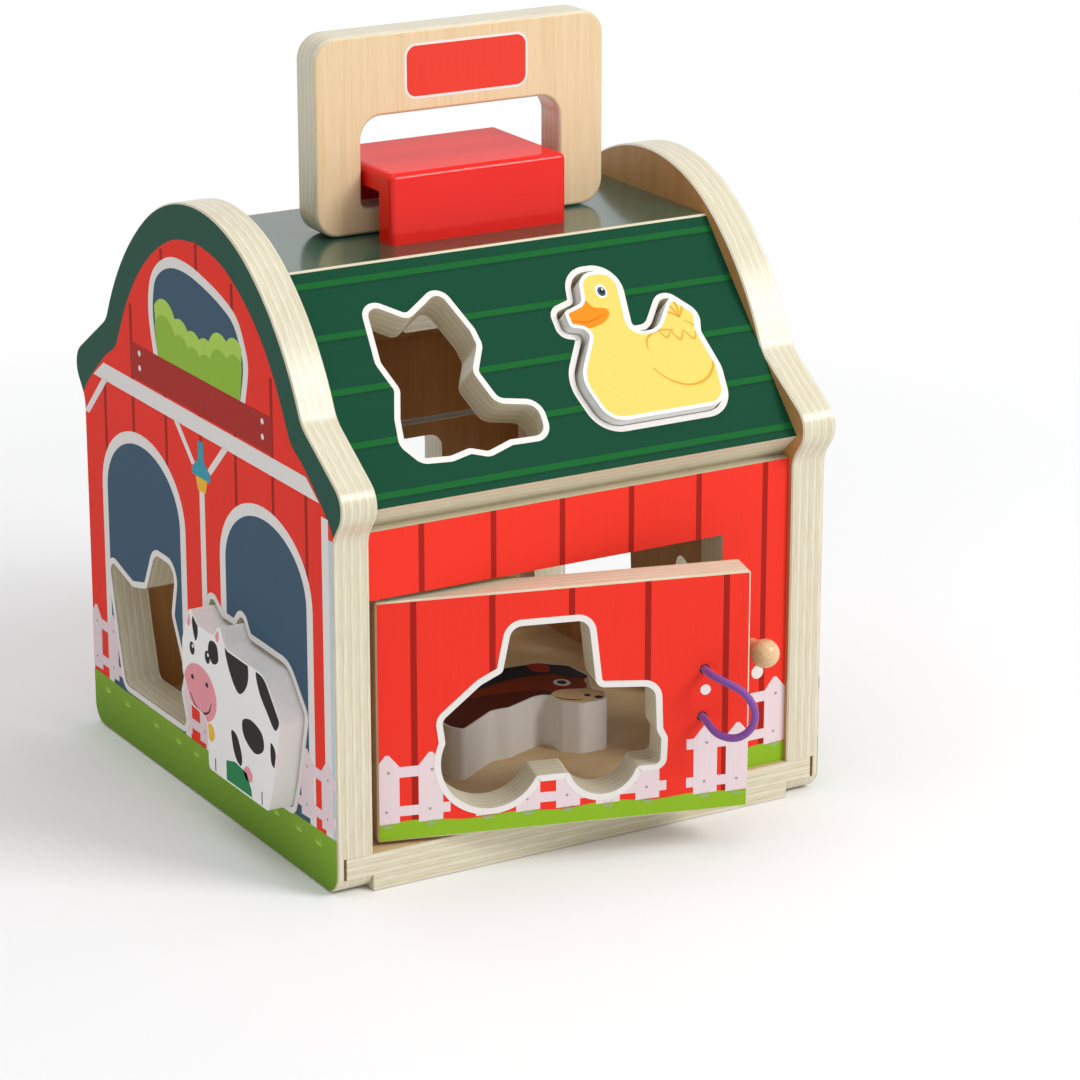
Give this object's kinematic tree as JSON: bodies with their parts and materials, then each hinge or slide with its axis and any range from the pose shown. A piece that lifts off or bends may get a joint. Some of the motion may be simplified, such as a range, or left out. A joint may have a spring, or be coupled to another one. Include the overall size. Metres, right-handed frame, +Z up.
{
  "type": "toy barn",
  "caption": "Wooden shape-sorting toy barn with arched gables, hinged doors closed by elastic loops, a folding carrying handle and animal blocks.",
  "frame": {"origin": "centre of the footprint on the underside of the base", "axes": "+Z up, front door towards -Y, gables towards -X and +X"},
  "size_m": [0.18, 0.2325, 0.2413],
  "materials": {
    "natural_plywood": "sanded and clear coated",
    "red_print": "printed and lacquered, satin",
    "green_print": "printed and lacquered, satin",
    "red_paint": "gloss paint",
    "white_paint": "satin paint",
    "yellow_paint": "satin paint",
    "brown_paint": "satin paint",
    "beech": "sanded",
    "steel": "zinc plated",
    "purple_elastic": "braided elastic"
  },
  "bodies": {
    "barn": {"base_panel": "natural_plywood", "left_gable": "red_print", "right_gable": "red_print", "front_wall": "red_print", "back_wall": "red_print", "front_roof_panel": "green_print", "back_roof_panel": "green_print", "ridge_panel": "green_print", "left_dowels": "beech", "right_dowels": "beech", "wall_foot_dowels": "beech", "front_knob": "beech", "back_knob": "beech", "front_upper_hinge_pin": "steel", "front_lower_hinge_pin": "steel", "back_upper_hinge_pin": "steel", "back_lower_hinge_pin": "steel", "handle_block": "red_paint", "handle_block_screws": "steel"},
    "front_door": {"front_door": "red_print", "front_elastic_cord": "purple_elastic", "front_cord_knots": "purple_elastic"},
    "back_door": {"back_door": "red_print", "back_elastic_cord": "purple_elastic", "back_cord_knots": "purple_elastic"},
    "handle": {"carrying_handle": "natural_plywood"},
    "cow": {"cow_block": "white_paint"},
    "duck": {"duck_block": "yellow_paint"},
    "horse": {"horse_block": "brown_paint"}
  },
  "joints": [
    {"name": "front_door_hinge", "type": "hinge", "parent": "barn", "child": "front_door", "pos_m": [-0.063, -0.079, 0], "axis": [0, 0, -1], "range_deg": [-15.5, 94.5]},
    {"name": "back_door_hinge", "type": "hinge", "parent": "barn", "child": "back_door", "pos_m": [0.063, 0.079, 0], "axis": [0, 0, -1], "range_deg": [0, 110]},
    {"name": "handle_fold", "type": "hinge", "parent": "barn", "child": "handle", "pos_m": [0, -0.006, 0.1793], "axis": [1, 0, 0], "range_deg": [0, 90]},
    {"name": "cow_slide", "type": "slide", "parent": "barn", "child": "cow", "axis": [-1, 0, 0], "range_m": [-0.021, 0.014]},
    {"name": "duck_slide", "type": "slide", "parent": "barn", "child": "duck", "axis": [0, -0.7396, 0.673], "range_m": [-0.02, 0.01]},
    {"name": "horse_lift", "type": "slide", "parent": "barn", "child": "horse", "axis": [0, 0, 1], "range_m": [0, 0.05]}
  ]
}
